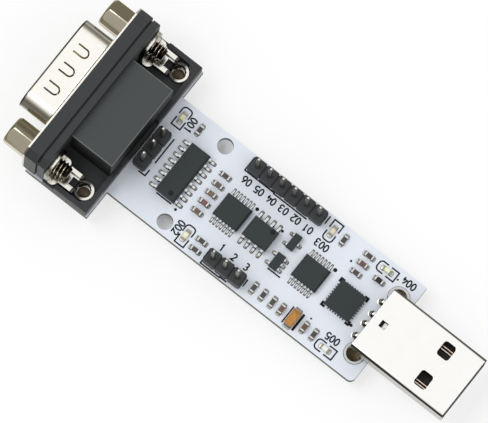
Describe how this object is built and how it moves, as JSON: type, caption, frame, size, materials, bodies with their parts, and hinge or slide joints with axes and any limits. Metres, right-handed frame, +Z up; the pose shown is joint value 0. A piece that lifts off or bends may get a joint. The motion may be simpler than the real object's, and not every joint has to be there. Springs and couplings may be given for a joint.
{
  "type": "serial adapter module",
  "caption": "Bare circuit module that joins a rectangular data plug to a right-angle male D connector and pin headers, on a narrow white board.",
  "frame": {"origin": "under the middle of the module's length and width, level with the tips of the through-hole tails that it stands on", "axes": "+X along the board towards the rectangular plug, +Z up from the component side, +Y towards the edge with the long pin header"},
  "size_m": [0.0852, 0.0308, 0.0155],
  "materials": {
    "board": "white solder mask on glass-epoxy laminate, black print",
    "connector_metal": "bright nickel plated drawn steel",
    "bracket_metal": "tin plated folded steel",
    "jackscrew_metal": "nickel plated turned steel",
    "plug_metal": "bright nickel plated folded steel",
    "black_plastic": "fine-grained moulded black",
    "tongue_plastic": "moulded black",
    "header_plastic": "moulded black",
    "contact_gold": "gold flashed",
    "lead_tin": "bright tin plate",
    "mould_compound": "fine matt mould compound",
    "resistor_body": "black glass over white ceramic",
    "capacitor_body": "tan to brown ceramic",
    "ferrite": "dark sintered ferrite",
    "led_base": "white laminate",
    "led_lens": "pale clear resin",
    "tantalum_case": "orange moulded resin"
  },
  "bodies": {
    "root": {"bracket_left": "bracket_metal", "bracket_right": "bracket_metal", "chip_capacitors": "capacitor_body", "chip_eight_body": "mould_compound", "chip_eight_leads": "lead_tin", "chip_five_body": "mould_compound", "chip_five_leads": "lead_tin", "chip_fourteen_a_body": "mould_compound", "chip_fourteen_a_leads": "lead_tin", "chip_fourteen_b_body": "mould_compound", "chip_fourteen_b_leads": "lead_tin", "chip_resistors": "resistor_body", "chip_sixteen_body": "mould_compound", "chip_sixteen_leads": "lead_tin", "chip_terminals": "lead_tin", "chip_three_body": "mould_compound", "chip_three_leads": "lead_tin", "circuit_board": "board", "connector_housing": "black_plastic", "connector_insulator": "black_plastic", "connector_shell": "connector_metal", "contact_1": "contact_gold", "contact_2": "contact_gold", "contact_3": "contact_gold", "contact_4": "contact_gold", "contact_5": "contact_gold", "contact_6": "contact_gold", "contact_7": "contact_gold", "contact_8": "contact_gold", "contact_9": "contact_gold", "ferrite_bead": "ferrite", "header_edge_base": "header_plastic", "header_edge_pins": "lead_tin", "header_inner_base": "header_plastic", "header_inner_pins": "lead_tin", "header_six_base": "header_plastic", "header_six_pins": "lead_tin", "jackscrew_left": "jackscrew_metal", "jackscrew_right": "jackscrew_metal", "led_1_lens": "led_lens", "led_2_lens": "led_lens", "led_3_lens": "led_lens", "led_4_lens": "led_lens", "led_5_lens": "led_lens", "led_bases": "led_base", "led_terminals": "lead_tin", "plug_contact_1": "contact_gold", "plug_contact_2": "contact_gold", "plug_contact_3": "contact_gold", "plug_contact_4": "contact_gold", "plug_shell": "plug_metal", "plug_tongue": "tongue_plastic", "square_chip_body": "mould_compound", "square_chip_terminals": "lead_tin", "tantalum_body": "tantalum_case", "tantalum_terminals": "lead_tin"}
  },
  "joints": []
}
